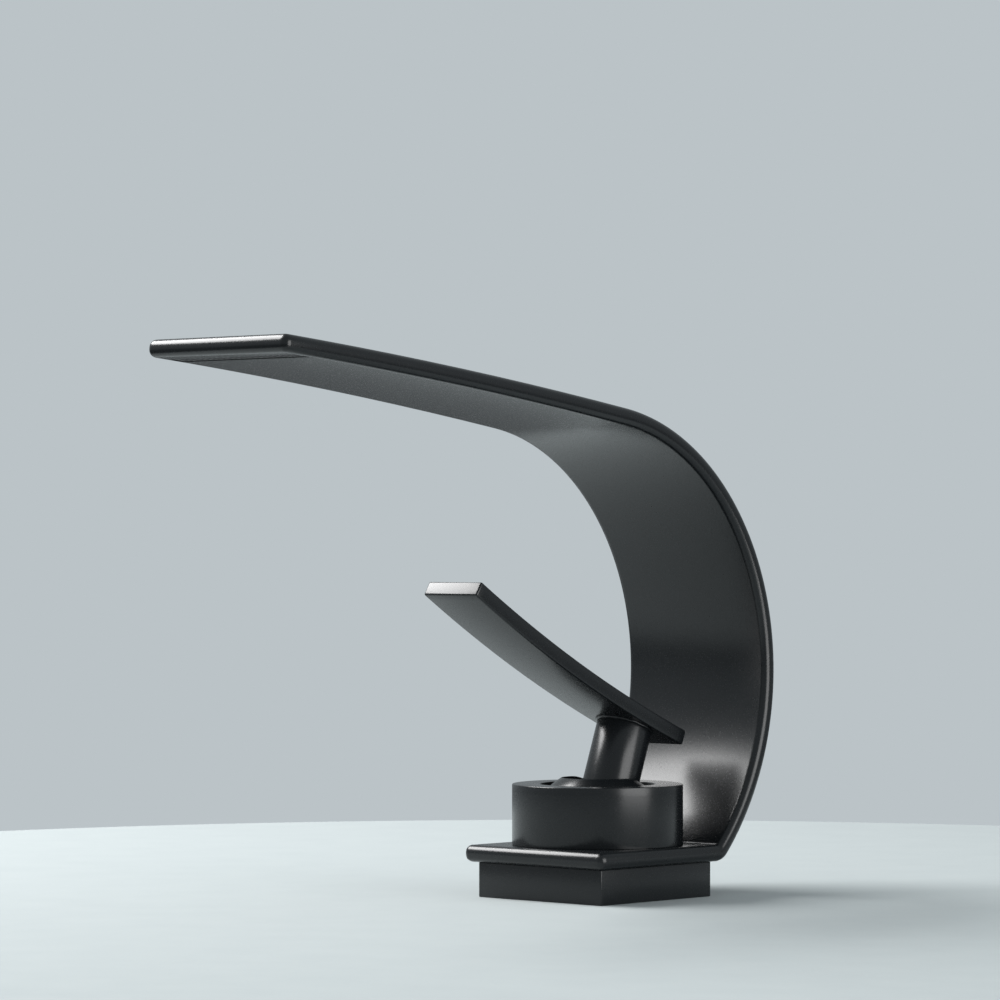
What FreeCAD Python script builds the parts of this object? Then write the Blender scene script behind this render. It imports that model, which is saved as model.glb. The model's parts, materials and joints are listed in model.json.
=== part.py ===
"""Single-lever basin mixer made of a bent flat strip, with its ceramic cartridge and deck clamp.

Units are millimetres. The origin is the centre of the plinth's underside, where it sits on the deck.
+Z is up, the spout reaches towards -Y and +X is to the right seen from the front.
"""
import FreeCAD
import Part
import math
import os

V = FreeCAD.Vector
os.makedirs("parts", exist_ok=True)

# ---- driving sizes ----------------------------------------------------------------------------
plinth_wall = 2.35
plinth_height = 10.3
strip_width = 54.5
strip_thickness = 5.0
strip_round = 2.2
strip_front = -27.3
back_centre_y = -26.5
back_centre_z = 66.0
back_radius = 76.8
back_low_angle = -10.8
arm_rise = 8.8
arm_radius = 2260.0
arm_length = 138.0
low_radius = 79.0
corner_round = 3.0
channel_wall = 1.2
channel_side_wall = 2.75
channel_tip_gap = 3.5
outlet_setback = 6.6
outlet_width = 5.0
comb_pitch = 2.2
comb_gap = 1.25
comb_bridge = 1.0
comb_depth = 1.4
comb_recess = 0.2

ring_wall = 4.55
ring_height = 17.7
ring_offset = 1.2
ring_lip = 2.5
ring_mouth_radius = 16.8
ring_edge = 0.25
body_wall = 1.8
bore_gap = 1.1
floor_thickness = 1.2
plinth_edge = 0.3
gasket_inset = 0.8
gasket_width = 1.0
gasket_height = 1.0
seal_groove_depth = 0.9
seal_groove_height = 1.2
passage_half = 12.0

dome_radius = 20.45
dome_wall = 1.2
stem_radius = 8.2
stem_gap = 2.4
stem_start = 14.0
stem_tilt = 20.3
tilt_spare = 5.2
lever_width = 20.7
lever_thickness = 4.5
lever_sag = 2.4
lever_front = (-61.2, 88.65)
lever_rear = (27.3, 43.7)
lever_edge = 0.55
socket_end = 27.5
socket_gap = 0.02
grub_level = 24.0
grub_radius = 2.0
grub_length = 4.5
grub_hex_radius = 1.1
grub_hex_depth = 2.0
flat_depth = 0.5

housing_radius = 17.5
disc_seat_radius = 15.3
guide_bore_radius = 14.2
housing_above_pivot = 4.3
nut_thickness = 2.8
nut_bore = 12.2
nut_notch_half = 1.6
nut_notch_count = 6
glide_gap = 0.22
glide_height = 2.6
guide_neck_radius = 11.5
guide_gap = 0.3
side_seal_low = 18.0
side_seal_height = 1.8
window_half = 6.0
port_seal_width = 1.5
port_seal_height = 1.0
outlet_port_back = 6.5
base_top = 3.6
fixed_disc_thickness = 2.4
moving_disc_thickness = 2.2
moving_disc_radius = 12.0
carrier_radius = 11.0
carrier_height = 4.4
chamber_radius = 4.2
chamber_depth = 1.2
spindle_radius = 3.0
spindle_arm = 6.0
spindle_neck_radius = 1.6
ball_radius = 2.4
ball_gap = 0.3
pocket_floor = 0.4
pin_radius = 1.5
pin_half_length = 9.0
running_gap = 0.06
slip = 0.05

shank_radius = 16.0
shank_length = 14.0
inlet_radius = 4.5
inlet_x = 6.5
inlet_y = 5.0
port_radius = 3.2
stud_radius = 3.9
stud_y = -10.8
stud_end = -58.0
deck_thickness = 20.0
pad_radius = 27.0
pad_thickness = 3.0
clamp_thickness = 2.5
hose_slot_half = 12.5
hose_slot_front = -1.5
clamp_gap = 0.6
thread_gap = 0.08
nut_across_flats = 13.0
nut_height = 6.5

# ---- derived sizes ----------------------------------------------------------------------------
bore_radius = housing_radius + bore_gap
body_radius = bore_radius + body_wall
fit_radius = body_radius + slip
ring_radius = fit_radius + ring_wall
plinth_side = 2 * (ring_offset + fit_radius + plinth_wall)
plate_top = plinth_height + strip_thickness
ring_top = plate_top + ring_height
half_strip = strip_width / 2
channel_half_width = half_strip - channel_side_wall
comb_count = int(2 * channel_half_width / comb_pitch) - 1
disc_plane = base_top + fixed_disc_thickness
carrier_floor = disc_plane + moving_disc_thickness
pivot_height = carrier_floor + pocket_floor + ball_gap + ball_radius + spindle_arm
housing_top = pivot_height + housing_above_pivot
body_top = housing_top + nut_thickness
pivot = V(0, ring_offset, pivot_height)
stem_axis = V(0, math.sin(math.radians(stem_tilt)), math.cos(math.radians(stem_tilt)))
ball_offset = -spindle_arm * stem_axis.y
inlets = [(-inlet_x, inlet_y), (inlet_x, inlet_y)]
beyond = 1.0


# ---- helpers ----------------------------------------------------------------------------------
def cyl(radius, low, high, x=0.0, y=ring_offset):
    return Part.makeCylinder(radius, high - low, V(x, y, low))


def tube(outer, inner, low, high, x=0.0, y=ring_offset):
    return cyl(outer, low, high, x, y).cut(cyl(inner, low - 1, high + 1, x, y))


def block(x0, x1, y0, y1, z0, z1):
    return Part.makeBox(x1 - x0, y1 - y0, z1 - z0, V(x0, y0, z0))


def rod(radius, start, stop, axis=stem_axis, origin=pivot):
    """Cylinder on an axis through origin, between two distances along it."""
    return Part.makeCylinder(radius, stop - start, origin + axis * start, axis)


def keep(name, shape):
    shape = shape.removeSplitter()
    shape.exportStep("parts/" + name + ".step")
    box = shape.BoundBox
    print(f"{name}: {len(shape.Solids)} solid(s), valid {shape.isValid()}, {shape.Volume:.1f} mm3,",
          f"x {box.XMin:.1f}..{box.XMax:.1f},",
          f"y {box.YMin:.1f}..{box.YMax:.1f},",
          f"z {box.ZMin:.1f}..{box.ZMax:.1f}")


# ---- the strip: plate, back and spout ----------------------------------------------------------
class Arc:
    """An arc in the YZ plane, by its centre, its radius and its two angles in degrees from +Y."""

    def __init__(self, centre, radius, start, stop):
        self.centre = centre
        self.radius = radius
        self.start = start
        self.stop = stop

    def at(self, angle, depth=0.0):
        turn = math.radians(angle)
        reach = self.radius - depth
        return V(0, self.centre[0] + reach * math.cos(turn), self.centre[1] + reach * math.sin(turn))

    def edge(self, depth, start=None, stop=None):
        first = self.start if start is None else start
        last = self.stop if stop is None else stop
        middle = (first + last) / 2
        return Part.Arc(self.at(first, depth), self.at(middle, depth), self.at(last, depth)).toShape()


def tangent_centre(arc, angle, radius):
    """Centre of an arc that continues arc smoothly from the given angle."""
    turn = math.radians(angle)
    step = arc.radius - radius
    return (arc.centre[0] + step * math.cos(turn), arc.centre[1] + step * math.sin(turn))


arm_start_angle = 90.0 - arm_rise
arm_stop_angle = arm_start_angle + math.degrees(arm_length / arm_radius)
back = Arc((back_centre_y, back_centre_z), back_radius, back_low_angle, arm_start_angle)
arm = Arc(tangent_centre(back, arm_start_angle, arm_radius), arm_radius, arm_start_angle, arm_stop_angle)
low = Arc(tangent_centre(back, back_low_angle, low_radius), low_radius, -60.0, back_low_angle)


def foot_angle(depth):
    """Where the lower arc meets the plate, at a depth below the outer surface."""
    drop = plinth_height + depth - low.centre[1]
    return math.degrees(math.asin(drop / (low.radius - depth)))


def side(depth, front, stop):
    """The strip's side line at one depth: plate, lower arc, back and arm."""
    foot = foot_angle(depth)
    corner = low.at(foot, depth)
    plate = Part.makeLine(V(0, front, plinth_height + depth), corner)
    return [plate, low.edge(depth, foot), back.edge(depth), arm.edge(depth, None, stop)]


def band(near, far, front, trim, half_width):
    """Solid between two depths of the strip, ending short of the tip by trim."""
    stop = arm_stop_angle - math.degrees(trim / arm_radius)
    tip = Part.makeLine(arm.at(stop, near), arm.at(stop, far))
    end = Part.makeLine(V(0, front, plinth_height + near), V(0, front, plinth_height + far))
    wire = Part.Wire(Part.__sortEdges__(side(near, front, stop) + [tip] + side(far, front, stop) + [end]))
    face = Part.Face(wire)
    face.translate(V(-half_width, 0, 0))
    return face.extrude(V(2 * half_width, 0, 0))


def edges_where(shape, test):
    return [edge for edge in shape.Edges if test(edge)]


def along_x_at(point, reach=0.3):
    def test(edge):
        ends = [vertex.Point for vertex in edge.Vertexes]
        flat = [math.hypot(end.y - point.y, end.z - point.z) < reach for end in ends]
        return len(ends) == 2 and all(flat) and abs(ends[0].x - ends[1].x) > 1
    return test


def on_side(edge):
    beside = all(abs(abs(vertex.Point.x) - half_strip) < 1e-4 for vertex in edge.Vertexes)
    return beside and edge.BoundBox.XLength < 1e-3


strip = band(0.0, strip_thickness, strip_front, 0.0, half_strip)
outer_corner = low.at(foot_angle(0.0), 0.0)
inner_corner = low.at(foot_angle(strip_thickness), strip_thickness)
strip = strip.makeFillet(corner_round, edges_where(strip, along_x_at(outer_corner)))
strip = strip.makeFillet(corner_round, edges_where(strip, along_x_at(inner_corner)))
ends = [arm.at(arm_stop_angle, depth) for depth in (0.0, strip_thickness)]
ends += [V(0, strip_front, plinth_height), V(0, strip_front, plate_top)]
rounded = edges_where(strip, on_side)
for point in ends:
    rounded += edges_where(strip, along_x_at(point))
strip = strip.makeFillet(strip_round, rounded)


def on_arm(trim, depth):
    """Point on the arm, and the frame's turn about X there, at a distance back from the tip."""
    angle = arm_stop_angle - math.degrees(trim / arm_radius)
    return arm.at(angle, depth), angle - 90.0


def arm_block(half_x, trim, length, deep, deeper, x=0.0):
    """Block lying along the arm: from trim to trim + length behind the tip, between two depths."""
    point, turn = on_arm(trim + length / 2, deep)
    shape = Part.makeBox(2 * half_x, length, deeper - deep, V(x - half_x, -length / 2, deep - deeper))
    shape.rotate(V(0, 0, 0), V(1, 0, 0), turn)
    shape.translate(point)
    return shape


channel_front = ring_offset + 10.0
channel_low = strip_thickness - channel_wall
channel = band(channel_wall, channel_low, channel_front, channel_tip_gap, channel_half_width)
outlet_top = strip_thickness / 2 + 0.5
outlet = arm_block(channel_half_width, outlet_setback, outlet_width, outlet_top, strip_thickness + beyond)
spout = strip.cut(channel).cut(outlet).cut(cyl(fit_radius, plinth_height - 1, ring_top))
keep("spout_body", spout)

comb_low = strip_thickness - comb_recess
comb = arm_block(channel_half_width, outlet_setback, outlet_width, comb_low - comb_depth, comb_low)
gap_start = outlet_setback + comb_bridge
gap_length = outlet_width - 2 * comb_bridge
for index in range(comb_count):
    place = (index - (comb_count - 1) / 2) * comb_pitch
    comb = comb.cut(arm_block(comb_gap / 2, gap_start, gap_length, 2.0, strip_thickness + beyond, place))
keep("outlet_comb", comb)

# ---- plinth and its seal -----------------------------------------------------------------------
half_side = plinth_side / 2
plinth = block(-half_side, half_side, -half_side, half_side, 0, plinth_height)
upright = edges_where(plinth, lambda e: abs(e.BoundBox.ZLength - plinth_height) < 0.01)
plinth = plinth.makeChamfer(plinth_edge, upright)
seal_outer = half_side - gasket_inset
seal_inner = seal_outer - gasket_width
gasket = block(-seal_outer, seal_outer, -seal_outer, seal_outer, 0, gasket_height)
middle_hole = block(-seal_inner, seal_inner, -seal_inner, seal_inner, -beyond, gasket_height + beyond)
gasket = gasket.cut(middle_hole)
plinth = plinth.cut(cyl(fit_radius, -beyond, plinth_height + beyond)).cut(gasket)
keep("plinth", plinth)
keep("base_gasket", gasket)

# ---- valve body: cartridge bore above the deck, threaded shank below it ------------------------
valve = cyl(body_radius, 0, body_top).cut(cyl(bore_radius, floor_thickness, body_top + 1))
valve = valve.fuse(cyl(shank_radius, -shank_length, 0, y=0.0))
for x, y in inlets:
    valve = valve.cut(cyl(inlet_radius, -shank_length - 1, -2.0, x, y))
    valve = valve.cut(cyl(port_radius, -3.0, floor_thickness + 1, x, y))
valve = valve.cut(cyl(stud_radius + slip, -shank_length - 1, -2.5, y=stud_y))
port_low = plinth_height + channel_wall
port_high = plate_top - channel_wall
passage = block(-passage_half, passage_half, ring_offset + 12, ring_offset + 24, port_low, port_high)
valve = valve.cut(passage)
lower_groove = port_low - 2.9
upper_groove = port_high + 2.0
ring_grooves = [(level, level + seal_groove_height) for level in (lower_groove, upper_groove)]
groove_floor = body_radius - seal_groove_depth
for groove_low, groove_high in ring_grooves:
    valve = valve.cut(tube(body_radius + 1, groove_floor, groove_low, groove_high))
keep("valve_body", valve)
seals = [tube(fit_radius, groove_floor, groove_low, groove_high) for groove_low, groove_high in ring_grooves]
keep("body_o_rings", Part.makeCompound(seals))

# ---- bonnet ring, glide ring and cartridge nut --------------------------------------------------
bonnet = cyl(ring_radius, plate_top, ring_top).cut(cyl(fit_radius, plate_top - 1, ring_top - ring_lip))
bonnet = bonnet.cut(cyl(ring_mouth_radius, plate_top, ring_top + 1))


def flat_outer_circle(edge):
    box = edge.BoundBox
    return abs(box.XLength - 2 * ring_radius) < 0.01 and box.ZLength < 0.01


bonnet = bonnet.makeChamfer(ring_edge, edges_where(bonnet, flat_outer_circle))
# the strip starts to rise inside the ring's rear edge, so the ring is notched to it and can't turn
bonnet = bonnet.cut(strip)
keep("bonnet_ring", bonnet)
glide_bore = math.sqrt(dome_radius ** 2 - (body_top - pivot_height) ** 2) + glide_gap
keep("dome_glide_ring", tube(body_radius, glide_bore, body_top, body_top + glide_height))
nut = tube(bore_radius - slip, nut_bore, housing_top, body_top)
for turn in range(nut_notch_count):
    near = nut_bore - 1.2
    far = nut_bore + 2.2
    notch = block(-nut_notch_half, nut_notch_half, near, far, housing_top + 1.0, body_top + beyond)
    notch.rotate(V(0, 0, 0), V(0, 0, 1), 360 / nut_notch_count * turn)
    notch.translate(V(0, ring_offset, 0))
    nut = nut.cut(notch)
keep("cartridge_nut", nut)

# ---- cartridge ----------------------------------------------------------------------------------
housing = cyl(housing_radius, floor_thickness, housing_top)
housing = housing.cut(cyl(disc_seat_radius, 0, carrier_floor + 0.8))
housing = housing.cut(cyl(guide_bore_radius, 0, housing_top - 1.0))
housing = housing.cut(cyl(guide_neck_radius + guide_gap, 0, housing_top + beyond))
housing = housing.cut(block(-window_half, window_half, -30, ring_offset, 0, base_top - 0.6))
side_seal_floor = housing_radius - seal_groove_depth
side_seal_top = side_seal_low + side_seal_height
housing = housing.cut(tube(housing_radius + beyond, side_seal_floor, side_seal_low, side_seal_top))
keep("cartridge_housing", housing)
keep("cartridge_side_seal", tube(bore_radius, side_seal_floor, side_seal_low, side_seal_top))

outlet_port_y = ring_offset - outlet_port_back
base = cyl(disc_seat_radius - slip, floor_thickness, base_top)
port_seal_radius = port_radius + port_seal_width
port_seal_top = floor_thickness + port_seal_height
for x, y in inlets:
    base = base.cut(cyl(port_radius, 0, base_top + beyond, x, y))
    base = base.cut(cyl(port_seal_radius, floor_thickness - beyond, port_seal_top, x, y))
base = base.cut(cyl(port_radius, floor_thickness + 1.2, base_top + beyond, y=outlet_port_y))
base = base.cut(block(-port_radius, port_radius, -30, outlet_port_y, 0, floor_thickness + 1.3))
keep("cartridge_base", base)
port_rings = []
for x, y in inlets:
    port_rings.append(tube(port_seal_radius, port_radius, floor_thickness, port_seal_top, x, y))
keep("cartridge_port_seals", Part.makeCompound(port_rings))

fixed_disc = cyl(disc_seat_radius - 0.3, base_top, disc_plane)
for x, y in inlets + [(0.0, outlet_port_y)]:
    fixed_disc = fixed_disc.cut(cyl(port_radius - 0.3, 0, disc_plane + 1, x, y))
keep("fixed_ceramic_disc", fixed_disc)

disc_y = ring_offset + ball_offset
moving_disc = cyl(moving_disc_radius, disc_plane, carrier_floor, y=disc_y)
chamber_top = disc_plane + chamber_depth
chamber = cyl(chamber_radius, disc_plane - beyond, chamber_top, y=disc_y - 3)
chamber = chamber.fuse(cyl(chamber_radius, disc_plane - beyond, chamber_top, y=disc_y + 2))
keep("moving_ceramic_disc", moving_disc.cut(chamber))
carrier_top = carrier_floor + carrier_height
carrier = cyl(carrier_radius, carrier_floor, carrier_top, y=disc_y)
carrier = carrier.cut(cyl(ball_radius + ball_gap, carrier_floor + pocket_floor, carrier_top + 1, y=disc_y))
keep("disc_carrier", carrier)

# ---- swivel: guide, pivot pin and dome ----------------------------------------------------------
guide_low = carrier_top + 0.6
guide = cyl(guide_bore_radius - 0.35, guide_low, housing_top - 1.2)
guide = guide.fuse(cyl(guide_neck_radius, guide_low, body_top + 0.5))
flange_radius = math.sqrt((dome_radius - dome_wall) ** 2 - (body_top + 1.6 - pivot_height) ** 2) - slip
guide = guide.fuse(cyl(flange_radius, body_top + 0.4, body_top + 1.6))
slot_half = spindle_radius + 0.35
guide = guide.cut(block(-slot_half, slot_half, ring_offset - 5.8, ring_offset + 8.0, 0, body_top + 5))
pin_axis = V(1, 0, 0)
pin = rod(pin_radius, -pin_half_length, pin_half_length, pin_axis)
keep("spindle_guide", guide.cut(pin))
keep("spindle_pivot_pin", pin)

shell = Part.makeSphere(dome_radius, pivot).cut(Part.makeSphere(dome_radius - dome_wall, pivot))
shell = shell.common(cyl(40, body_top + 0.4, ring_top + 30))
slot_radius = stem_radius + stem_gap
back_tilt = math.radians(stem_tilt + tilt_spare)
back_axis = V(0, math.sin(back_tilt), math.cos(back_tilt))
reach = 40.0
corners = [pivot, pivot + V(0, 0, reach), pivot + back_axis * reach, pivot]
wedge = Part.Face(Part.makePolygon(corners))
wedge.translate(V(-slot_radius, 0, 0))
wedge = wedge.extrude(V(2 * slot_radius, 0, 0))
slot = rod(slot_radius, 0, reach, V(0, 0, 1)).fuse(rod(slot_radius, 0, reach, back_axis)).fuse(wedge)
keep("dome_cover", shell.cut(slot))

# ---- lever --------------------------------------------------------------------------------------
front = V(0, lever_front[0], lever_front[1])
rear = V(0, lever_rear[0], lever_rear[1])
chord = rear - front
normal = V(0, -chord.z, chord.y)
normal.normalize()
if normal.z < 0:
    normal = normal * -1
middle = (front + rear) * 0.5 - normal * lever_sag
under = Part.Arc(front, middle, rear)
lever_bend = under.toShape().Curve.Radius
bend_centre = under.toShape().Curve.Center


def lifted(point, lift):
    """Point moved towards the centre of the lever's bend."""
    inward = bend_centre - point
    inward.normalize()
    return point + inward * lift


def lever_slab(low_lift, high_lift, half_width):
    low_ends = [lifted(p, low_lift) for p in (front, middle, rear)]
    high_ends = [lifted(p, high_lift) for p in (front, middle, rear)]
    edges = [Part.Arc(*low_ends).toShape(), Part.Arc(*high_ends).toShape()]
    edges += [Part.makeLine(low_ends[0], high_ends[0]), Part.makeLine(low_ends[2], high_ends[2])]
    face = Part.Face(Part.Wire(Part.__sortEdges__(edges)))
    face.translate(V(-half_width, 0, 0))
    return face.extrude(V(2 * half_width, 0, 0))


handle = lever_slab(0.0, lever_thickness, lever_width / 2)
handle = handle.makeFillet(lever_edge, handle.Edges)
keep("lever_handle", handle)

stem = rod(stem_radius, stem_start, 60)
stem = stem.common(lever_slab(-60.0, 0.0, 40))
stem = stem.cut(rod(spindle_radius + socket_gap, 0, socket_end))
rearward = V(0, math.cos(math.radians(stem_tilt)), -math.sin(math.radians(stem_tilt)))
grub_origin = pivot + stem_axis * grub_level
grub_tip = spindle_radius - flat_depth
grub_end = grub_tip + grub_length
stem = stem.cut(rod(grub_radius, 0, 20, rearward, grub_origin))
keep("lever_stem", stem)
grub = rod(grub_radius, grub_tip, grub_end, rearward, grub_origin)
hex_socket = rod(grub_hex_radius, grub_end - grub_hex_depth, grub_end + beyond, rearward, grub_origin)
keep("lever_grub_screw", grub.cut(hex_socket))
plug = rod(grub_radius, grub_end + 2 * slip, 20, rearward, grub_origin).common(rod(stem_radius, 0, 40))
keep("grub_screw_plug", plug)

spindle = rod(spindle_radius, -3.2, socket_end - 0.5)
spindle = spindle.fuse(rod(spindle_neck_radius, -spindle_arm, -3.0))
spindle = spindle.fuse(Part.makeSphere(ball_radius, pivot - stem_axis * spindle_arm))
spindle = spindle.cut(rod(pin_radius + running_gap, -pin_half_length, pin_half_length, pin_axis))
flat = Part.makeCylinder(10, 8, grub_origin - stem_axis * 4, stem_axis)
flat = flat.common(rod(40, grub_tip, 30, rearward, grub_origin))
spindle = spindle.cut(flat)
keep("spindle", spindle)

# ---- under the deck: stud, pad, clamp plate and nut ---------------------------------------------
keep("mounting_stud", cyl(stud_radius, stud_end, -2.6, y=stud_y))
pad_top = -deck_thickness
pad_low = pad_top - pad_thickness
plate_low = pad_low - clamp_thickness


def horseshoe(radius, z0, z1):
    shape = cyl(radius, z0, z1, y=0.0)
    shape = shape.cut(block(-hose_slot_half, hose_slot_half, hose_slot_front, 40, z0 - beyond, z1 + beyond))
    return shape.cut(cyl(stud_radius + clamp_gap, z0 - beyond, z1 + beyond, y=stud_y))


keep("clamp_pad", horseshoe(pad_radius, pad_low, pad_top))
keep("clamp_plate", horseshoe(pad_radius - 1, plate_low, pad_low))
corner_radius = nut_across_flats / math.sqrt(3)
stud_foot = V(0, stud_y, plate_low - nut_height)
corner_turns = [math.radians(60 * k) for k in range(7)]
hexagon = [stud_foot + V(math.cos(turn), math.sin(turn), 0) * corner_radius for turn in corner_turns]
clamp_nut = Part.Face(Part.makePolygon(hexagon)).extrude(V(0, 0, nut_height))
keep("clamp_nut", clamp_nut.cut(cyl(stud_radius + thread_gap, -100, 0, y=stud_y)))
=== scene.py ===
# %% [markdown]
# # A single-lever basin mixer in satin black
#
# The faucet is one flat brass strip, bent into a foot plate, a curved back and a wide spout. A round
# bonnet ring stands on the plate over the cartridge, and a bent paddle on a round stem works it. Below
# the deck are the threaded stud and the clamp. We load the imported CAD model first, because it fixes
# every size, place and joint, and then model each visible piece finely on top of it.

# %% Load the frame
import json
import math
import bpy
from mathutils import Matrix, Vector


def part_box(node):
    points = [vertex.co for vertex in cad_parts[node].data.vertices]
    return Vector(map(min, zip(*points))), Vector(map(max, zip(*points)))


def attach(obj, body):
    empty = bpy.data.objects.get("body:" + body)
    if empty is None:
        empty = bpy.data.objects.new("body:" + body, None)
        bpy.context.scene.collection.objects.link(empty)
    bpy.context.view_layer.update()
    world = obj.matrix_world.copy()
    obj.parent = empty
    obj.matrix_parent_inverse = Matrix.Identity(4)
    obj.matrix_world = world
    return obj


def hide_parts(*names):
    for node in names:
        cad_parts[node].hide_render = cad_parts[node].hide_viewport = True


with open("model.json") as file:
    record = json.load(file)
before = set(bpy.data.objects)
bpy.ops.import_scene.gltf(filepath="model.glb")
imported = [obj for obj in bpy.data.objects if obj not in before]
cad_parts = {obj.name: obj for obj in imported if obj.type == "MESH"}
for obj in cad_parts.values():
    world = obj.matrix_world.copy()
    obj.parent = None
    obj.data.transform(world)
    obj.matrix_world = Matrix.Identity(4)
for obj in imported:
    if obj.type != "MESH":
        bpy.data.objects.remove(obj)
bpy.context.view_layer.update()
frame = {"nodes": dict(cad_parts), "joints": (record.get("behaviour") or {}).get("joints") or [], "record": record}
MM = 0.001
print("CAD nodes:", len(frame["nodes"]))

# %% [markdown]
# ## Working by hand, in code
#
# An operator acts on whatever is selected. Each step therefore starts with nothing selected and then
# picks what it needs by place, as a modeller would click on it. These few helpers do the picking.


# %% Selection helpers
def put_down():
    """Leave edit mode with nothing selected."""
    if bpy.context.object and bpy.context.object.mode != "OBJECT":
        bpy.ops.object.mode_set(mode="OBJECT")
    bpy.ops.object.select_all(action="DESELECT")


def take(piece):
    """Make one piece the selected and active one."""
    put_down()
    piece.select_set(True)
    bpy.context.view_layer.objects.active = piece


def edit_all(piece):
    take(piece)
    bpy.ops.object.mode_set(mode="EDIT")
    bpy.ops.mesh.select_mode(type="VERT")
    bpy.ops.mesh.select_all(action="SELECT")


def pick(piece, kind, test):
    """In edit mode, select the faces, edges or points that pass a test on their places."""
    take(piece)
    bpy.ops.object.mode_set(mode="EDIT")
    bpy.ops.mesh.select_mode(type=kind)
    bpy.ops.mesh.select_all(action="DESELECT")
    bpy.ops.object.mode_set(mode="OBJECT")
    mesh = piece.data
    if kind == "FACE":
        for face in mesh.polygons:
            face.select = test(face.center, face.normal)
    elif kind == "EDGE":
        for edge in mesh.edges:
            edge.select = test(mesh.vertices[edge.vertices[0]].co, mesh.vertices[edge.vertices[1]].co)
    else:
        for point in mesh.vertices:
            point.select = test(point.co)
    bpy.ops.object.mode_set(mode="EDIT")


def tilt(angle, centre):
    """Turn what is selected about X by the right-hand rule. With no window the operator turns the other way."""
    bpy.ops.transform.rotate(value=-angle, orient_axis="X", center_override=centre)


def new_section(name, width, height):
    """A flat rectangle round the origin in the XY plane, left in edit mode, all selected."""
    put_down()
    bpy.ops.mesh.primitive_plane_add(size=1)
    piece = bpy.context.object
    piece.name = name
    bpy.ops.object.mode_set(mode="EDIT")
    bpy.ops.mesh.select_all(action="SELECT")
    bpy.ops.transform.resize(value=(width, height, 1), center_override=(0, 0, 0))
    return piece


def lathe(piece, centre, steps=144):
    """Turn the piece's outline once round a vertical axis and close it."""
    edit_all(piece)
    bpy.ops.mesh.dissolve_faces()
    bpy.ops.mesh.delete(type="ONLY_FACE")
    bpy.ops.mesh.select_all(action="SELECT")
    bpy.ops.mesh.spin(steps=steps, angle=2 * math.pi, center=centre, axis=(0, 0, 1))
    bpy.ops.mesh.select_all(action="SELECT")
    bpy.ops.mesh.remove_doubles(threshold=1e-6)
    bpy.ops.mesh.normals_make_consistent(inside=False)


def cut_with(piece, cutter, operation="DIFFERENCE"):
    """Cut one solid with another, as with a milling tool, and throw the tool away."""
    put_down()
    knife = piece.modifiers.new("cut", "BOOLEAN")
    knife.object = cutter
    knife.operation = operation
    knife.solver = "EXACT"
    take(piece)
    bpy.ops.object.modifier_apply(modifier=knife.name)
    bpy.data.objects.remove(cutter)


def open_edges(piece):
    count = {}
    for face in piece.data.polygons:
        for key in face.edge_keys:
            count[key] = count.get(key, 0) + 1
    return sum(1 for uses in count.values() if uses != 2)


def finish_piece(piece, body, material, slot, *nodes, angle=32):
    """Place the piece for good, shade it, give it its finish and let it ride on its CAD body."""
    take(piece)
    bpy.ops.object.transform_apply(location=True, rotation=True, scale=True)
    bpy.ops.object.shade_smooth_by_angle(angle=math.radians(angle))
    piece.data.materials.clear()
    piece.data.materials.append(material)
    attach(piece, body)
    if nodes:
        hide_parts(*nodes)
    put_down()
    print(piece.name, len(piece.data.polygons), "faces,", open_edges(piece), "open edges")
    return piece


# %% [markdown]
# ## Finishes
#
# A finish is made from what the real one is. Each colour is an sRGB hex value, turned to linear light in
# one place. Patterns use Object coordinates, which are metres here, so one over a size in millimetres
# gives the scale of a pattern of that size.


# %% Colour and node helpers
def colour(code):
    parts = [int(code[k:k + 2], 16) / 255 for k in (1, 3, 5)]
    linear = [v / 12.92 if v <= 0.04045 else ((v + 0.055) / 1.055) ** 2.4 for v in parts]
    return (*linear, 1.0)


def add_node(material, kind, settings=None, **links):
    """Add a node, set its properties and sockets, and link sockets named in links."""
    node = material.node_tree.nodes.new(kind)
    for name, value in (settings or {}).items():
        if name in node.inputs:
            node.inputs[name].default_value = value
        else:
            setattr(node, name, value)
    for name, source in links.items():
        material.node_tree.links.new(source, node.inputs[name.replace("_", " ")])
    return node


def per_mm(size_mm):
    """Noise scale whose grain is about this size."""
    return 1.0 / (size_mm * MM)


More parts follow.
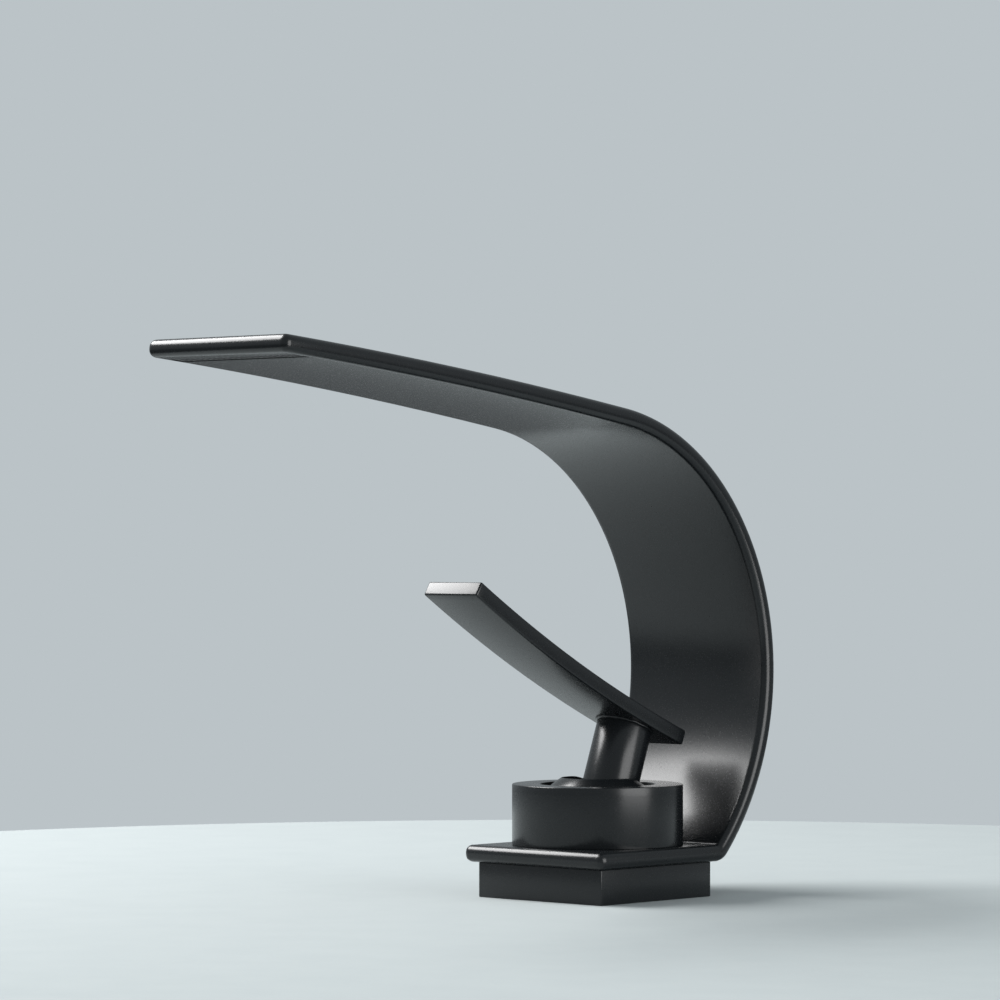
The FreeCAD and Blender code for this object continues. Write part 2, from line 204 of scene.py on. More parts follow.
def surface(name, base, other, rough, rough_spread, grain_mm, grain_height_mm, stretch=(1, 1, 1), patch_mm=18.0, **shader):
    """A finish with two close colours in soft patches, uneven gloss, and a fine grain as bump."""
    material = bpy.data.materials.new(name)
    material.use_nodes = True
    tree = material.node_tree
    tree.nodes.clear()
    place = add_node(material, "ShaderNodeTexCoord").outputs["Object"]
    stretched = add_node(material, "ShaderNodeMapping", {"Scale": stretch}, Vector=place).outputs["Vector"]
    patches = add_node(material, "ShaderNodeTexNoise", {"Scale": per_mm(patch_mm), "Detail": 3.0}, Vector=place)
    grain = add_node(material, "ShaderNodeTexNoise", {"Scale": per_mm(grain_mm), "Detail": 2.0}, Vector=stretched)
    tint = add_node(material, "ShaderNodeMix", {"data_type": "RGBA"})
    tree.links.new(patches.outputs["Fac"], tint.inputs["Factor"])
    tint.inputs[6].default_value = colour(base)
    tint.inputs[7].default_value = colour(other)
    gloss = add_node(material, "ShaderNodeMapRange", {"To Min": rough - rough_spread, "To Max": rough + rough_spread,
                                                      "From Min": 0.3, "From Max": 0.7}, Value=grain.outputs["Fac"])
    bump = add_node(material, "ShaderNodeBump", {"Strength": 1.0, "Distance": grain_height_mm * MM},
                    Height=grain.outputs["Fac"])
    skin = add_node(material, "ShaderNodeBsdfPrincipled", {key.replace("_", " "): value for key, value in shader.items()})
    tree.links.new(tint.outputs[2], skin.inputs["Base Color"])
    tree.links.new(gloss.outputs["Result"], skin.inputs["Roughness"])
    tree.links.new(bump.outputs["Normal"], skin.inputs["Normal"])
    out = add_node(material, "ShaderNodeOutputMaterial")
    tree.links.new(skin.outputs["BSDF"], out.inputs["Surface"])
    return material


# %% [markdown]
# The visible pieces are brass with a satin black electro-coat. The coat is a thin, even paint, so it isn't
# a metal to the eye: it is nearly black, and its soft sheen comes from an even, barely pebbled skin.
# The pebbles on the real coat are about 0.2 mm wide, and are drawn at 0.5 mm so that they show.

# %% Electro-coated brass
black_coat = surface("electro_coated_brass_satin_black", "#0F1113", "#131618", 0.25, 0.03, 0.5, 0.0028,
                     Specular_IOR_Level=0.42)

# %% [markdown]
# The body inside and the cartridge nut are bare turned brass. Turning leaves rings a fraction of a
# millimetre apart, so the grain is squeezed along Z and the gloss changes from ring to ring.

# %% Bare metals
turned_brass = surface("turned_brass", "#B8924E", "#A9823F", 0.32, 0.06, 1.2, 0.006, stretch=(0.2, 0.2, 5.0), Metallic=1.0)
zinc_steel = surface("zinc_plated_steel", "#B9BCBE", "#A8ACB0", 0.34, 0.07, 0.9, 0.006, Metallic=1.0)
stainless_pin = surface("ground_stainless_steel", "#C4C5C4", "#B6B8B9", 0.24, 0.05, 0.8, 0.003, Metallic=1.0)

# %% [markdown]
# Seals and the clamp pad are moulded EPDM rubber, dull and nearly black. The cartridge has white acetal
# for what slides, glass-filled polyamide for its housing, and lapped alumina for its two discs.

# %% Rubber, plastics and ceramic
moulded_rubber = surface("moulded_epdm_rubber", "#1B1B1C", "#232324", 0.72, 0.08, 0.6, 0.02, IOR=1.52)
white_acetal = surface("moulded_white_acetal", "#E6E5DF", "#DEDDD6", 0.42, 0.05, 0.8, 0.005, IOR=1.48)
grey_polyamide = surface("glass_filled_polyamide", "#7C8188", "#6E737A", 0.55, 0.07, 0.5, 0.010, IOR=1.53)
black_acetal = surface("moulded_black_acetal", "#17181A", "#1D1E20", 0.45, 0.06, 0.6, 0.006, IOR=1.48)
lapped_alumina = surface("lapped_alumina", "#EDEAE2", "#E6E2D8", 0.22, 0.04, 0.4, 0.002, IOR=1.76)

# %% [markdown]
# ## The bent strip
#
# The real spout is one strip 54.5 mm wide and 5 mm thick, hollow inside, bent three ways: a nearly flat
# arm, the big bend of the back, and a slightly tighter bend down to the foot plate. We draw its end face
# as a rectangle at the spout's tip and spin it round the centre of each bend in turn, so the bends stay
# true arcs and run smoothly into each other.

# %% Sizes of the strip
plinth_low, plinth_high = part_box("plinth")
spout_low, spout_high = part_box("spout_body")
ring_low, ring_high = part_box("bonnet_ring")
strip_width = spout_high.x - spout_low.x
strip_thick = ring_low.z - plinth_high.z
strip_front = -27.3 * MM
strip_round = 2.2 * MM
back_centre = Vector((0, -26.5 * MM, 66.0 * MM))
back_radius = 76.8 * MM
arm_radius = 2260 * MM
arm_length = 138 * MM
low_radius = 79.0 * MM
foot_bend = 3.5 * MM
arm_start = math.radians(81.2)
low_start = math.radians(-10.8)


def on_circle(centre, radius, angle):
    return centre + Vector((0, math.cos(angle), math.sin(angle))) * radius


arm_tip = arm_start + arm_length / arm_radius
arm_centre = on_circle(back_centre, back_radius - arm_radius, arm_start)
low_centre = on_circle(back_centre, back_radius - low_radius, low_start)
plate_middle = plinth_high.z + strip_thick / 2
foot_reach = low_radius - strip_thick / 2 - foot_bend
foot = math.asin((plate_middle + foot_bend - low_centre.z) / foot_reach)
foot_centre = on_circle(low_centre, foot_reach, foot)
print("strip", round(strip_width / MM, 1), "by", round(strip_thick / MM, 1), "mm, foot at", round(math.degrees(foot), 1))

# %% Sweep the strip from its tip to the foot
strip = new_section("bent_strip", strip_width, strip_thick)
tilt(arm_tip, (0, 0, 0))
bpy.ops.transform.translate(value=on_circle(arm_centre, arm_radius - strip_thick / 2, arm_tip))
for centre, sweep, step_degrees in (
    (arm_centre, arm_tip - arm_start, 0.35),
    (back_centre, arm_start - low_start, 2.0),
    (low_centre, low_start - foot, 2.2),
    (foot_centre, foot + math.pi / 2, 5.0),
):
    steps = max(4, round(math.degrees(sweep) / step_degrees))
    bpy.ops.mesh.spin(steps=steps, angle=sweep, center=centre, axis=(1, 0, 0))

# %% [markdown]
# At the foot the strip is folded forward into the plate. A folded strip keeps its thickness, so this was
# one more spin, round a centre just above the plate, and it left the end face upright. The plate is pulled
# straight out of that face to its front edge.

# %% Pull out the plate
foot_end = on_circle(foot_centre, foot_bend, -math.pi / 2)
bpy.ops.mesh.extrude_region_move(TRANSFORM_OT_translate={"value": (0, strip_front - foot_end.y, 0)})
bpy.ops.mesh.select_all(action="SELECT")
bpy.ops.mesh.normals_make_consistent(inside=False)
print("plate", round((foot_end.y - strip_front) / MM, 1), "mm long")

# %% [markdown]
# The long edges and the two ends are rounded almost to a half round, but the four upright corners stay
# sharp, so the two roundings meet in a mitred crease there. That crease catches the light on the real one.

# %% Round the rims
take(strip)
bpy.ops.object.mode_set(mode="EDIT")
bpy.ops.mesh.select_mode(type="EDGE")
bpy.ops.mesh.select_all(action="DESELECT")
bpy.ops.mesh.edges_select_sharp(sharpness=math.radians(60))
bpy.ops.object.mode_set(mode="OBJECT")
half_width = strip_width / 2
for edge in strip.data.edges:
    a, b = (strip.data.vertices[k].co for k in edge.vertices)
    upright = abs(a.x - b.x) < 0.01 * MM and abs((a - b).length - strip_thick) < 0.05 * MM
    if upright:
        edge.select = False
bpy.ops.object.mode_set(mode="EDIT")
bpy.ops.mesh.bevel(offset=strip_round, segments=7, affect="EDGES", clamp_overlap=False)

# %% [markdown]
# The water leaves through a slot across the underside near the tip, and the plate has a round hole for
# the valve body. Both are cut with a simple tool body, as a mill would.

# %% Outlet slot and the hole in the plate
comb_low, comb_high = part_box("outlet_comb")
slot_length = 5.0 * MM
slot_setback = 6.6 * MM
slot_angle = arm_tip - (slot_setback + slot_length / 2) / arm_radius
slot_depth = 2.4 * MM
slot_middle = on_circle(arm_centre, arm_radius - strip_thick, slot_angle)
put_down()
bpy.ops.mesh.primitive_cube_add(size=1)
tool = bpy.context.object
edit_all(tool)
bpy.ops.transform.resize(value=(comb_high.x - comb_low.x, slot_length, 2 * slot_depth), center_override=(0, 0, 0))
tilt(slot_angle - math.pi / 2, (0, 0, 0))
bpy.ops.transform.translate(value=slot_middle)
cut_with(strip, tool)

valve_low, valve_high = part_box("valve_body")
valve_radius = (valve_high.x - valve_low.x) / 2
axis_y = (ring_low.y + ring_high.y) / 2
put_down()
bpy.ops.mesh.primitive_cylinder_add(vertices=128, radius=valve_radius + 0.05 * MM, depth=8 * MM,
                                    location=(0, axis_y, plate_middle))
cut_with(strip, bpy.context.object)
finish_piece(strip, "body", black_coat, "black_coat", "spout_body")

# %% [markdown]
# ## The plinth
#
# A square brass block with crisp edges. A cube gets fine bevels, because even a sharp milled edge
# shows a thin bright line, and a round bore for the valve body.

# %% Plinth
plinth_size = plinth_high - plinth_low
put_down()
bpy.ops.mesh.primitive_cube_add(size=1)
plinth = bpy.context.object
plinth.name = "square_plinth"
edit_all(plinth)
bpy.ops.transform.resize(value=plinth_size, center_override=(0, 0, 0))
bpy.ops.transform.translate(value=(plinth_low + plinth_high) / 2)
bpy.ops.mesh.bevel(offset=0.35 * MM, segments=3, affect="EDGES")
put_down()
bpy.ops.mesh.primitive_cylinder_add(vertices=128, radius=valve_radius + 0.05 * MM, depth=3 * plinth_size.z,
                                    location=(0, axis_y, plinth_size.z / 2))
cut_with(plinth, bpy.context.object)
gasket_low, gasket_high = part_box("base_gasket")
gasket_wall = 1.0 * MM


def square_tube(name, low, high, wall):
    """A square ring from one corner to the other, made by pulling a wall in and dropping the middle out."""
    put_down()
    bpy.ops.mesh.primitive_cube_add(size=1)
    piece = bpy.context.object
    piece.name = name
    edit_all(piece)
    bpy.ops.transform.resize(value=high - low, center_override=(0, 0, 0))
    bpy.ops.transform.translate(value=(low + high) / 2)
    pick(piece, "FACE", lambda centre, normal: abs(normal.z) > 0.9)
    bpy.ops.mesh.inset(thickness=wall, use_boundary=True)
    bpy.ops.mesh.bridge_edge_loops()
    bpy.ops.mesh.select_all(action="SELECT")
    bpy.ops.mesh.normals_make_consistent(inside=False)
    return piece


cut_with(plinth, square_tube("groove_tool", gasket_low - Vector((0, 0, 0.001)), gasket_high, gasket_wall))
finish_piece(plinth, "body", black_coat, "black_coat", "plinth")
gasket = square_tube("square_gasket", gasket_low, gasket_high, gasket_wall)
finish_piece(gasket, "body", moulded_rubber, "rubber", "base_gasket")

# %% [markdown]
# ## The bonnet ring
#
# A turned ring with a straight wall and a lip round its mouth. Its section is drawn as a rectangle, the
# lip is pulled out of its upper inner side, the outer corners are eased, and the outline is spun once
# round the cartridge's axis.

# %% Bonnet ring
ring_radius = (ring_high.x - ring_low.x) / 2
ring_bore = valve_radius + 0.05 * MM
mouth_radius = 16.8 * MM
lip_height = 2.5 * MM
ring = new_section("bonnet_ring_turned", ring_radius - ring_bore, ring_high.z - ring_low.z)
tilt(math.pi / 2, (0, 0, 0))
bpy.ops.transform.translate(value=((ring_radius + ring_bore) / 2, axis_y, (ring_low.z + ring_high.z) / 2))
bpy.ops.mesh.bisect(plane_co=(0, 0, ring_high.z - lip_height), plane_no=(0, 0, 1))


def lip_side(a, b):
    low = min(a.z, b.z)
    return max(a.x, b.x) < ring_bore + 0.01 * MM and low > ring_high.z - lip_height - 0.01 * MM


pick(ring, "EDGE", lip_side)
bpy.ops.mesh.extrude_region_move(TRANSFORM_OT_translate={"value": (mouth_radius - ring_bore, 0, 0)})
pick(ring, "VERT", lambda p: p.z > ring_high.z - 0.01 * MM and (p.x > ring_radius - 0.01 * MM or p.x < mouth_radius + 0.01 * MM))
bpy.ops.mesh.bevel(offset=0.30 * MM, segments=3, affect="VERTICES")
pick(ring, "VERT", lambda p: p.z < ring_low.z + 0.01 * MM and p.x > ring_radius - 0.01 * MM)
bpy.ops.mesh.bevel(offset=0.25 * MM, segments=3, affect="VERTICES")
lathe(ring, (0, axis_y, 0), 180)
finish_piece(ring, "body", black_coat, "black_coat", "bonnet_ring", angle=28)

# %% [markdown]
# ## The lever
#
# A flat paddle, bent a little so that its tip points up more than its heel. Its end face is spun round
# the far centre of that bend. The edges are only just broken, as on a polished bar.

# %% Lever paddle
lever_width = 20.7 * MM
lever_thick = 4.5 * MM
lever_front = Vector((0, -61.2 * MM, 88.65 * MM))
lever_rear = Vector((0, 27.3 * MM, 43.7 * MM))
lever_sag = 2.4 * MM
chord = lever_front - lever_rear
up_from_chord = Vector((0, -chord.z, chord.y)).normalized()
up_from_chord = up_from_chord if up_from_chord.z > 0 else -up_from_chord
lever_bend = (chord.length ** 2 / 4 + lever_sag ** 2) / (2 * lever_sag)
bend_centre = (lever_front + lever_rear) / 2 + up_from_chord * (lever_bend - lever_sag)
rear_spoke = lever_rear - bend_centre
front_spoke = lever_front - bend_centre
rear_angle = math.atan2(rear_spoke.z, rear_spoke.y)
front_angle = math.atan2(front_spoke.z, front_spoke.y)
lever_sweep = abs(front_angle - rear_angle)

lever = new_section("bent_paddle", lever_width, lever_thick)
tilt(rear_angle, (0, 0, 0))
bpy.ops.transform.translate(value=on_circle(bend_centre, lever_bend - lever_thick / 2, rear_angle))
bpy.ops.mesh.spin(steps=32, angle=lever_sweep, center=bend_centre, axis=(1, 0, 0))
bpy.ops.mesh.select_all(action="SELECT")
bpy.ops.mesh.normals_make_consistent(inside=False)
bpy.ops.mesh.select_mode(type="EDGE")
bpy.ops.mesh.select_all(action="DESELECT")
bpy.ops.mesh.edges_select_sharp(sharpness=math.radians(60))
bpy.ops.mesh.bevel(offset=0.55 * MM, segments=4, affect="EDGES")
finish_piece(lever, "lever", black_coat, "black_coat", "lever_handle")

# %% [markdown]
# ## The outlet comb
#
# A moulded comb fills the slot under the tip and splits the water into thin streams. Its gaps are all
# the same, so one gap tool is made, repeated by an Array modifier, and cut out of a plain bar in one go.

# %% Outlet comb
comb_pitch = 2.2 * MM
comb_gap = 1.25 * MM
comb_thick = 1.4 * MM
comb_count = int((comb_high.x - comb_low.x) / comb_pitch) - 1


def slab(name, size):
    """A box of one size round the origin, left in edit mode, all selected."""
    put_down()
    bpy.ops.mesh.primitive_cube_add(size=1)
    piece = bpy.context.object
    piece.name = name
    edit_all(piece)
    bpy.ops.transform.resize(value=size, center_override=(0, 0, 0))
    return piece


def run_modifier(piece, kind, **settings):
    """Add a modifier, set it and apply it at once."""
    put_down()
    modifier = piece.modifiers.new(kind.lower(), kind)
    for name, value in settings.items():
        setattr(modifier, name, value)
    take(piece)
    bpy.ops.object.modifier_apply(modifier=modifier.name)


def ease_edges(piece, width, segments=3, angle=40):
    """Round every edge that turns by more than an angle."""
    run_modifier(piece, "BEVEL", width=width, segments=segments, limit_method="ANGLE",
                 angle_limit=math.radians(angle), use_clamp_overlap=True)


comb = slab("outlet_comb_bar", (comb_high.x - comb_low.x - 0.1 * MM, slot_length - 0.06 * MM, comb_thick))
gaps = slab("gap_tool", (comb_gap, slot_length - 2 * MM, 4 * comb_thick))
bpy.ops.mesh.bevel(offset=0.35 * MM, segments=3, affect="EDGES")
bpy.ops.transform.translate(value=(-(comb_count - 1) / 2 * comb_pitch, 0, 0))
run_modifier(gaps, "ARRAY", count=comb_count, use_relative_offset=False, use_constant_offset=True,
             constant_offset_displace=(comb_pitch, 0, 0))
cut_with(comb, gaps)
ease_edges(comb, 0.12 * MM, 2)
edit_all(comb)
comb_middle = on_circle(arm_centre, arm_radius - strip_thick + 0.2 * MM + comb_thick / 2, slot_angle)
tilt(slot_angle - math.pi / 2, (0, 0, 0))
bpy.ops.transform.translate(value=comb_middle)
finish_piece(comb, "body", black_acetal, "black_plastic", "outlet_comb")
print("comb gaps:", comb_count)

# %% [markdown]
# ## The dome
#
# A thin dome turns under the bonnet's lip and hides the cartridge. It starts as a sphere, which is cut
# off at the rim and given its wall by a Solidify modifier. The slot for the stem is a round tool swept
# from upright to leaning back.

# %% Dome shell
stem_joint = next(joint for joint in frame["joints"] if joint["name"] == "lever_lift")
pivot = Vector(stem_joint["pos_m"])
stem_tilt = math.radians(20.3)
stem_radius = 8.2 * MM
stem_start = 14.0 * MM
stem_axis = Vector((0, math.sin(stem_tilt), math.cos(stem_tilt)))
dome_low, dome_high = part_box("dome_cover")
dome_radius = 20.45 * MM
put_down()
bpy.ops.mesh.primitive_uv_sphere_add(segments=160, ring_count=120, radius=dome_radius)
dome = bpy.context.object
dome.name = "slotted_dome"
edit_all(dome)
bpy.ops.transform.translate(value=pivot)
bpy.ops.mesh.bisect(plane_co=(0, 0, dome_low.z), plane_no=(0, 0, 1), clear_inner=True)
run_modifier(dome, "SOLIDIFY", thickness=1.2 * MM, offset=-1.0, use_even_offset=True)

# %% Slot in the dome
slot_radius = stem_radius + 2.4 * MM
slot_back = stem_tilt + math.radians(5.2)
put_down()
bpy.ops.mesh.primitive_cylinder_add(vertices=96, radius=slot_radius, depth=34 * MM, location=pivot)
slot_tool = bpy.context.object
edit_all(slot_tool)
bpy.ops.transform.translate(value=(0, 0, 23 * MM))
bpy.ops.object.mode_set(mode="OBJECT")
bpy.ops.object.transform_apply(location=True)
pick(slot_tool, "VERT", lambda point: point.y > pivot.y + 0.01 * MM)
tilt(-slot_back, pivot)
cut_with(dome, slot_tool)
ease_edges(dome, 0.2 * MM, 2)
finish_piece(dome, "swivel", black_coat, "black_coat", "dome_cover")

# %% [markdown]
# ## The stem and its weld
#
# The stem is a round bar that leans back and runs into the underside of the paddle. Below, a socket takes
# the spindle, and a small hole at the back takes the grub screw. Where stem and paddle meet, the real one
# has a small uneven bead of weld under the coat, so a thin ring is shaken a little and smoothed.

# %% Stem
spindle_radius = 3.02 * MM
socket_depth = 13.5 * MM


def paddle_underside(start, direction):
    """Distance along a line from the pivot's neighbourhood to the paddle's underside."""
    offset = start - bend_centre
    along = offset.dot(direction)
    root = math.sqrt(along ** 2 - offset.length ** 2 + lever_bend ** 2)
    return -along - root if -along - root > 0 else root - along


stem_end = paddle_underside(pivot, stem_axis)
stem_length = stem_end + 1.2 * MM - stem_start
put_down()
bpy.ops.mesh.primitive_cylinder_add(vertices=112, radius=stem_radius, depth=stem_length)
stem = bpy.context.object
stem.name = "round_stem"
edit_all(stem)
bpy.ops.transform.translate(value=(0, 0, stem_start + stem_length / 2))
pick(stem, "FACE", lambda centre, normal: normal.z < -0.9)
bpy.ops.mesh.inset(thickness=stem_radius - spindle_radius)
bpy.ops.mesh.extrude_region_move(TRANSFORM_OT_translate={"value": (0, 0, socket_depth)})
pick(stem, "EDGE", lambda a, b: max(a.z, b.z) < stem_start + 0.01 * MM and min(a.xy.length, b.xy.length) > stem_radius / 2)
bpy.ops.mesh.select_mode(type="EDGE")
bpy.ops.mesh.bevel(offset=0.4 * MM, segments=3, affect="EDGES")
edit_all(stem)
tilt(-stem_tilt, (0, 0, 0))
bpy.ops.transform.translate(value=pivot)

# %% Grub-screw hole and its plug
grub_radius = 2.0 * MM
grub_axis = Vector((0, math.cos(stem_tilt), -math.sin(stem_tilt)))
grub_mouth = pivot + stem_axis * 24 * MM + grub_axis * stem_radius


def pin_along_grub(name, radius, low, high):
    """A short pin on the grub screw's line, between two distances from the stem's surface."""
    put_down()
    bpy.ops.mesh.primitive_cylinder_add(vertices=48, radius=radius, depth=high - low)
    pin = bpy.context.object
    pin.name = name
    edit_all(pin)
    bpy.ops.transform.translate(value=(0, 0, (low + high) / 2))
    tilt(-math.pi / 2 - stem_tilt, (0, 0, 0))
    bpy.ops.transform.translate(value=grub_mouth)
    return pin


cut_with(stem, pin_along_grub("grub_drill", grub_radius + 0.03 * MM, -5 * MM, 2 * MM))
ease_edges(stem, 0.12 * MM, 2, 50)
finish_piece(stem, "lever", black_coat, "black_coat", "lever_stem")
plug = pin_along_grub("grub_hole_plug", grub_radius, -1.05 * MM, -0.15 * MM)
ease_edges(plug, 0.25 * MM)
finish_piece(plug, "lever", black_acetal, "black_plastic", "grub_screw_plug")
print("stem ends at", round(stem_end / MM, 2), "mm from the pivot")

# %% Weld bead
weld_point = pivot + stem_axis * stem_end
weld_slope = math.atan2((weld_point - bend_centre).y, -(weld_point - bend_centre).z)
put_down()
bpy.ops.mesh.primitive_torus_add(major_radius=stem_radius + 0.15 * MM, minor_radius=0.62 * MM,
                                 major_segments=150, minor_segments=14)
bead = bpy.context.object
bead.name = "weld_bead"
edit_all(bead)
bpy.ops.transform.vertex_random(offset=0.55 * MM, seed=11)
bpy.ops.mesh.vertices_smooth(factor=0.5, repeat=7)
tilt(weld_slope, (0, 0, 0))
bpy.ops.transform.translate(value=weld_point - stem_axis * 0.1 * MM)
finish_piece(bead, "lever", black_coat, "black_coat", angle=80)

# %% [markdown]
# ## Below the deck
#
# A zinc-plated M8 stud hangs from the shank, and a nut pulls a horseshoe plate and a rubber pad up against
# the deck. The stud's thread is a real helix: a Screw modifier turns the outline of one thread round the
# axis as many times as needed, and each turn joins the next. The rod is then trimmed square at both ends.

# %% Stud
stud_low, stud_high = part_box("mounting_stud")
stud_middle = (stud_low + stud_high) / 2
stud_radius = (stud_high.x - stud_low.x) / 2
thread_pitch = 1.25 * MM
thread_depth = 0.65 * MM
put_down()
bpy.ops.mesh.primitive_plane_add(size=1)
stud = bpy.context.object
stud.name = "threaded_stud"
edit_all(stud)
bpy.ops.mesh.merge(type="CENTER")
root_radius = stud_radius - thread_depth
bpy.ops.transform.translate(value=(root_radius, 0, 0))
for out, up in ((0, 0.11), (1, 0.34), (0, 0.10), (-1, 0.34), (0, 0.11)):
    bpy.ops.mesh.extrude_region_move(TRANSFORM_OT_translate={"value": (out * thread_depth, 0, up * thread_pitch)})
turns = math.ceil((stud_high.z - stud_low.z) / thread_pitch) + 3
run_modifier(stud, "SCREW", axis="Z", angle=2 * math.pi, screw_offset=thread_pitch, iterations=turns,
             steps=40, render_steps=40, use_merge_vertices=True, merge_threshold=1e-6)
edit_all(stud)
bpy.ops.mesh.remove_doubles(threshold=1e-6)
bpy.ops.transform.translate(value=(0, stud_middle.y, stud_low.z - 2 * thread_pitch))
bpy.ops.mesh.fill_holes(sides=0)
bpy.ops.mesh.select_all(action="SELECT")
bpy.ops.mesh.normals_make_consistent(inside=False)
put_down()
bpy.ops.mesh.primitive_cylinder_add(vertices=64, radius=stud_radius + 0.01 * MM, depth=stud_high.z - stud_low.z,
                                    location=stud_middle)
envelope = bpy.context.object
pick(envelope, "EDGE", lambda a, b: abs(a.z - b.z) < 0.01 * MM)
bpy.ops.mesh.bevel(offset=0.8 * MM, segments=1, affect="EDGES")
cut_with(stud, envelope, "INTERSECT")
finish_piece(stud, "body", zinc_steel, "steel", "mounting_stud", angle=25)

# %% [markdown]
# The nut is a hexagon whose corners are turned off at 30 degrees, top and bottom. We cut it out of a
# turned blank: the part that is inside both the hexagon and the chamfered disc is the nut.

# %% Clamp nut
nut_low, nut_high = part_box("clamp_nut")
nut_middle = (nut_low + nut_high) / 2
nut_corner = (nut_high.x - nut_low.x) / 2
nut_flat = nut_corner * math.cos(math.radians(30))


def upright_cylinder(name, vertices, radius, low, high, y, turn=0.0):
    put_down()
    bpy.ops.mesh.primitive_cylinder_add(vertices=vertices, radius=radius, depth=high - low,
                                        location=(0, y, (low + high) / 2), rotation=(0, 0, turn))
    piece = bpy.context.object
    piece.name = name
    bpy.ops.object.transform_apply(location=True, rotation=True)
    return piece


nut = upright_cylinder("hex_nut", 6, nut_corner, nut_low.z, nut_high.z, nut_middle.y, math.pi / 2)
blank = upright_cylinder("nut_blank", 96, nut_corner, nut_low.z, nut_high.z, nut_middle.y)
pick(blank, "FACE", lambda centre, normal: abs(normal.z) > 0.9)
bpy.ops.mesh.inset(thickness=nut_corner - nut_flat * 0.97)
bpy.ops.mesh.select_all(action="DESELECT")
for level in (nut_low.z, nut_high.z):
    step = 0.55 * MM if level < nut_middle.z else -0.55 * MM
    pick(blank, "VERT", lambda p: abs(p.z - level) < 0.01 * MM
         and math.hypot(p.x, p.y - nut_middle.y) > nut_corner - 0.05 * MM)
    bpy.ops.transform.translate(value=(0, 0, step))
cut_with(nut, blank, "INTERSECT")
cut_with(nut, upright_cylinder("nut_drill", 64, stud_radius + 0.08 * MM, nut_low.z - MM, nut_high.z + MM, nut_middle.y))
ease_edges(nut, 0.12 * MM, 2, 25)
finish_piece(nut, "clamp", zinc_steel, "steel", "clamp_nut", angle=25)


# %% Clamp plate and rubber pad
def horseshoe(name, node, edge):
    """A disc with a wide slot for the hoses and a hole for the stud, its edges rounded."""
    low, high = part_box(node)
    radius = (high.x - low.x) / 2
    piece = upright_cylinder(name, 144, radius, low.z, high.z, 0)
    slot = slab("hose_slot", (25 * MM, 41.5 * MM, 20 * MM))
    bpy.ops.transform.translate(value=(0, -1.5 * MM + 20.75 * MM, low.z))
    bpy.ops.mesh.select_all(action="DESELECT")
    pick(slot, "EDGE", lambda a, b: abs(a.z - b.z) > MM and max(a.y, b.y) < 0)
    bpy.ops.mesh.bevel(offset=2.5 * MM, segments=8, affect="EDGES")
    cut_with(piece, slot)
    cut_with(piece, upright_cylinder("stud_drill", 64, stud_radius + 0.6 * MM, low.z - MM, high.z + MM, stud_middle.y))
    ease_edges(piece, edge, 3)
    return piece


finish_piece(horseshoe("clamp_horseshoe_plate", "clamp_plate", 0.35 * MM), "clamp", zinc_steel, "steel", "clamp_plate")
finish_piece(horseshoe("rubber_horseshoe_pad", "clamp_pad", 0.6 * MM), "clamp", moulded_rubber, "rubber", "clamp_pad")

# %% Finish: camera and light come last
target = Vector((0, 0, 0.070))
camera_azimuth = math.radians(41.99)
camera_elevation = math.radians(1.484)
camera_distance = 1.30
camera_back = Vector((math.sin(camera_azimuth) * math.cos(camera_elevation),
                      -math.cos(camera_azimuth) * math.cos(camera_elevation),
                      math.sin(camera_elevation)))
aim = Vector((-0.0207, -0.0184, 0.1159))
bpy.ops.object.camera_add(location=target + camera_back * camera_distance)
camera = bpy.context.object
camera.data.lens = 160.0
camera.data.sensor_width = 36.0
camera.data.clip_start = 0.05
camera.rotation_mode = "QUATERNION"
camera.rotation_quaternion = (aim - camera.location).to_track_quat("-Z", "Y")
bpy.context.scene.camera = camera
bpy.context.scene.view_settings.view_transform = "Standard"

# %% Floor
put_down()
bpy.ops.mesh.primitive_circle_add(vertices=128, radius=0.36, fill_type="NGON", location=(0, 0, 0))
floor = bpy.context.object
floor.name = "pale_floor"
pale = surface("pale_matt_stone", "#AEB4B4", "#A8AEAF", 0.85, 0.05, 1.5, 0.01, Specular_IOR_Level=0.2)
floor.data.materials.append(pale)


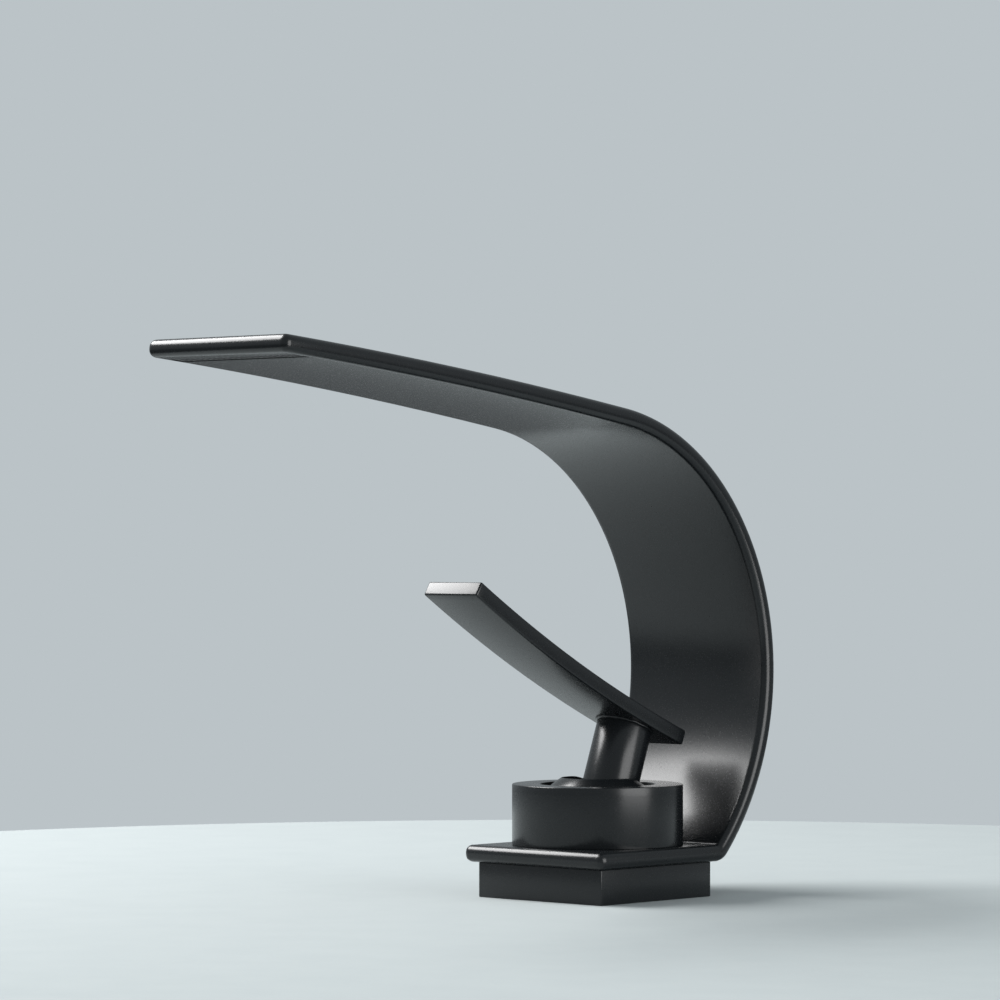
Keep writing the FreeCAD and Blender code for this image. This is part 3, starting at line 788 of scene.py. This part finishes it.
# %% Lights
def softbox(name, azimuth, elevation, distance, width, height, power):
    """A rectangular studio light that faces the object from an azimuth and an elevation."""
    a, e = math.radians(azimuth), math.radians(elevation)
    away = Vector((math.sin(a) * math.cos(e), -math.cos(a) * math.cos(e), math.sin(e)))
    bpy.ops.object.light_add(type="AREA", location=target + away * distance)
    light = bpy.context.object
    light.name = name
    light.data.shape = "RECTANGLE"
    light.data.size = width
    light.data.size_y = height
    light.data.energy = power
    light.visible_camera = False
    light.rotation_mode = "QUATERNION"
    light.rotation_quaternion = (-away).to_track_quat("-Z", "Y")
    return light


softbox("key_softbox", -66, 43, 1.2, 0.90, 0.66, 25)
softbox("side_softbox", 94, 4, 1.3, 0.95, 0.9, 12)
world = bpy.data.worlds.new("studio")
bpy.context.scene.world = world
world.use_nodes = True
sky = world.node_tree.nodes["Background"]
sky.inputs["Color"].default_value = colour("#BBC3C7")
way = add_node(world, "ShaderNodeTexCoord").outputs["Generated"]
height = add_node(world, "ShaderNodeSeparateXYZ", Vector=way).outputs["Z"]
room = add_node(world, "ShaderNodeMapRange", {"From Min": -0.10, "From Max": 0.02, "To Min": 0.24, "To Max": 0.72}, Value=height)
ray = add_node(world, "ShaderNodeLightPath").outputs["Is Glossy Ray"]
strength = add_node(world, "ShaderNodeMix", {"data_type": "FLOAT"})
strength.inputs[2].default_value = 1.0
world.node_tree.links.new(ray, strength.inputs[0])
world.node_tree.links.new(room.outputs["Result"], strength.inputs[3])
world.node_tree.links.new(strength.outputs[0], sky.inputs["Strength"])

# %% CAD nodes that stay get their finish
finishes = {
    "black_coat": black_coat,
    "black_plastic": black_acetal,
    "raw_brass": turned_brass,
    "steel": zinc_steel,
    "rubber": moulded_rubber,
    "white_plastic": white_acetal,
    "grey_plastic": grey_polyamide,
    "ceramic": lapped_alumina,
}
slots = {part["node"]: part["material_slot"] for part in frame["record"]["subparts"]}
for name, node in frame["nodes"].items():
    node.data.materials.clear()
    node.data.materials.append(finishes[slots[name]])
